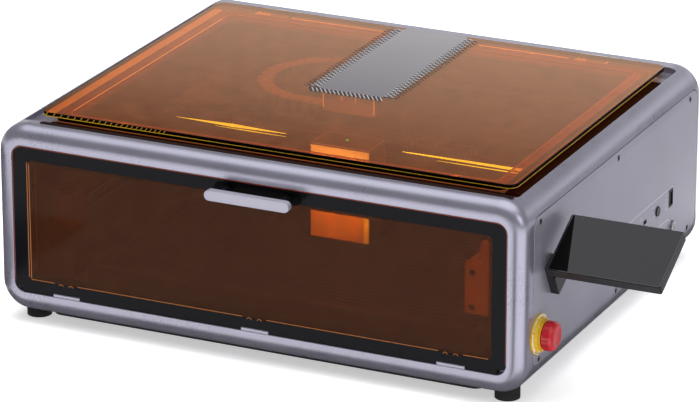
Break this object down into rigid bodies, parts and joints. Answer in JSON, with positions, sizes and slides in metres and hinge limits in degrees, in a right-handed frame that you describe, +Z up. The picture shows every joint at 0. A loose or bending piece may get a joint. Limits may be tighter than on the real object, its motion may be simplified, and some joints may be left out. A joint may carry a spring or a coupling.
{
  "type": "laser engraver",
  "caption": "Enclosed desktop laser engraver with an amber lid, a drop-down front door, a gantry-borne laser head, a tilting side screen and an emergency stop.",
  "frame": {"origin": "middle of the rectangle of four foot bushes, in the plane of the feet's undersides", "axes": "+X to the machine's right, +Y to the back, +Z up"},
  "size_m": [0.6885, 0.505, 0.2106],
  "materials": {
    "shell_paint": "satin",
    "panel_paint": "satin",
    "liner_paint": "matte",
    "head_paint": "satin",
    "black_sheet": "matte",
    "black_steel": "satin",
    "bare_steel": "brushed",
    "bright_chrome": "polished",
    "handle_metal": "satin",
    "bare_aluminium": "satin",
    "dark_aluminium": "satin",
    "black_aluminium": "satin",
    "black_plastic": "matte",
    "chain_plastic": "matte",
    "gloss_black": "gloss",
    "amber_acrylic": "gloss",
    "yellow_plastic": "gloss",
    "red_plastic": "gloss",
    "board_green": "satin",
    "screen_glass": "gloss",
    "foot_rubber": "matte",
    "belt_rubber": "matte"
  },
  "bodies": {
    "root": {"front_bezel": "shell_paint", "rear_bezel": "shell_paint", "top_frame": "shell_paint", "base_frame": "shell_paint", "base_plate": "black_sheet", "side_panel_left": "panel_paint", "side_panel_right": "panel_paint", "side_panel_screws": "black_steel", "feet": "foot_rubber", "foot_bushes": "bare_steel", "inner_walls": "liner_paint", "vent_grille": "black_plastic", "rear_panel": "panel_paint", "fan_frame": "black_plastic", "air_pump_housing": "liner_paint", "rear_beam": "dark_aluminium", "work_bed": "bare_aluminium", "control_board": "board_green", "y_beams": "dark_aluminium", "y_motors": "black_steel", "y_belts": "belt_rubber", "front_brackets": "dark_aluminium", "drag_chain": "chain_plastic", "door_hinge_pins": "bare_steel", "lid_hinge_brackets": "bare_steel", "screen_bracket": "black_plastic", "estop_collar": "yellow_plastic", "estop_contacts": "black_plastic", "key_barrel": "bright_chrome", "port_sockets": "black_plastic"},
    "door": {"door_frame": "gloss_black", "door_window": "amber_acrylic", "door_handle": "handle_metal"},
    "lid": {"lid_sheet": "amber_acrylic", "lid_frame": "amber_acrylic", "lid_hinge_leaves": "bare_steel", "camera_housing": "black_plastic"},
    "gantry": {"gantry_beam": "black_aluminium", "gantry_ends": "black_aluminium", "x_rail": "bare_steel", "x_motor": "black_steel", "x_belt": "belt_rubber", "head_ribbon": "black_plastic"},
    "carriage": {"carriage": "black_aluminium"},
    "head": {"laser_head": "head_paint", "head_nozzle": "black_aluminium"},
    "head_fan": {"head_fan": "black_plastic"},
    "exhaust_fan": {"fan_rotor": "black_plastic"},
    "screen": {"screen_housing": "black_plastic", "screen_glass": "screen_glass"},
    "estop_plunger": {"estop_stem": "bare_steel"},
    "estop_head": {"estop_head": "red_plastic"},
    "key": {"key_plug": "bright_chrome"},
    "power_button": {"power_button": "black_plastic"},
    "x_pulley": {"x_pulley": "bare_aluminium"},
    "x_idler": {"x_idler": "bare_aluminium"},
    "y_pulley_left": {"y_pulley_left": "bare_aluminium"},
    "y_pulley_right": {"y_pulley_right": "bare_aluminium"},
    "y_idler_left": {"y_idler_left": "bare_aluminium"},
    "y_idler_right": {"y_idler_right": "bare_aluminium"}
  },
  "joints": [
    {"name": "lid_hinge", "type": "hinge", "parent": "root", "child": "lid", "pos_m": [0, 0.205, 0.2084], "axis": [-1, 0, 0], "range_deg": [0, 80]},
    {"name": "door_hinge", "type": "hinge", "parent": "root", "child": "door", "pos_m": [0, -0.2317, 0.0353], "axis": [1, 0, 0], "range_deg": [0, 90]},
    {"name": "gantry_y", "type": "slide", "parent": "root", "child": "gantry", "axis": [0, 1, 0], "range_m": [-0.15, 0.112], "deforming": ["drag_chain"]},
    {"name": "head_x", "type": "slide", "parent": "gantry", "child": "carriage", "axis": [1, 0, 0], "range_m": [-0.14, 0.168], "deforming": ["head_ribbon"]},
    {"name": "head_focus", "type": "slide", "parent": "carriage", "child": "head", "axis": [0, 0, 1], "range_m": [-0.01, 0.01]},
    {"name": "screen_tilt", "type": "hinge", "parent": "root", "child": "screen", "pos_m": [0.2835, -0.17824, 0.12723], "axis": [1, 0, 0], "range_deg": [0, 35]},
    {"name": "estop_push", "type": "slide", "parent": "root", "child": "estop_plunger", "axis": [-1, 0, 0], "range_m": [0, 0.004], "stiffness_N_per_m": 1500},
    {"name": "estop_twist", "type": "hinge", "parent": "estop_plunger", "child": "estop_head", "pos_m": [0.29, -0.1988, 0.0675], "axis": [1, 0, 0], "range_deg": [0, 45], "stiffness_Nm_per_rad": 0.5},
    {"name": "key_turn", "type": "hinge", "parent": "root", "child": "key", "pos_m": [0.2835, 0.1517, 0.0569], "axis": [1, 0, 0], "range_deg": [0, 90]},
    {"name": "button_press", "type": "slide", "parent": "root", "child": "power_button", "axis": [-1, 0, 0], "range_m": [0, 0.0012], "stiffness_N_per_m": 800},
    {"name": "exhaust_spin", "type": "hinge", "parent": "root", "child": "exhaust_fan", "pos_m": [0.005, 0.212, 0.078], "axis": [0, 1, 0], "continuous": true},
    {"name": "head_fan_spin", "type": "hinge", "parent": "head", "child": "head_fan", "pos_m": [-0.02, -0.032, 0.13], "axis": [1, 0, 0], "continuous": true},
    {"name": "y_pulley_left_turn", "type": "hinge", "parent": "root", "child": "y_pulley_left", "pos_m": [-0.22, 0.171, 0.115], "axis": [1, 0, 0], "continuous": true},
    {"name": "y_pulley_right_turn", "type": "hinge", "parent": "root", "child": "y_pulley_right", "pos_m": [0.22, 0.171, 0.115], "axis": [1, 0, 0], "continuous": true},
    {"name": "y_idler_left_turn", "type": "hinge", "parent": "root", "child": "y_idler_left", "pos_m": [-0.22, -0.19, 0.115], "axis": [1, 0, 0], "continuous": true},
    {"name": "y_idler_right_turn", "type": "hinge", "parent": "root", "child": "y_idler_right", "pos_m": [0.22, -0.19, 0.115], "axis": [1, 0, 0], "continuous": true},
    {"name": "x_pulley_turn", "type": "hinge", "parent": "gantry", "child": "x_pulley", "pos_m": [-0.188, 0.013, 0.118], "axis": [0, 0, 1], "continuous": true},
    {"name": "x_idler_turn", "type": "hinge", "parent": "gantry", "child": "x_idler", "pos_m": [0.188, 0.013, 0.118], "axis": [0, 0, 1], "continuous": true}
  ],
  "couplings": [
    {"joint": "y_pulley_left_turn", "follows": "gantry_y", "rad_per_m": -157.08},
    {"joint": "y_pulley_right_turn", "follows": "gantry_y", "rad_per_m": -157.08},
    {"joint": "y_idler_left_turn", "follows": "gantry_y", "rad_per_m": -157.08},
    {"joint": "y_idler_right_turn", "follows": "gantry_y", "rad_per_m": -157.08},
    {"joint": "x_pulley_turn", "follows": "head_x", "rad_per_m": 157.08},
    {"joint": "x_idler_turn", "follows": "head_x", "rad_per_m": 157.08}
  ]
}
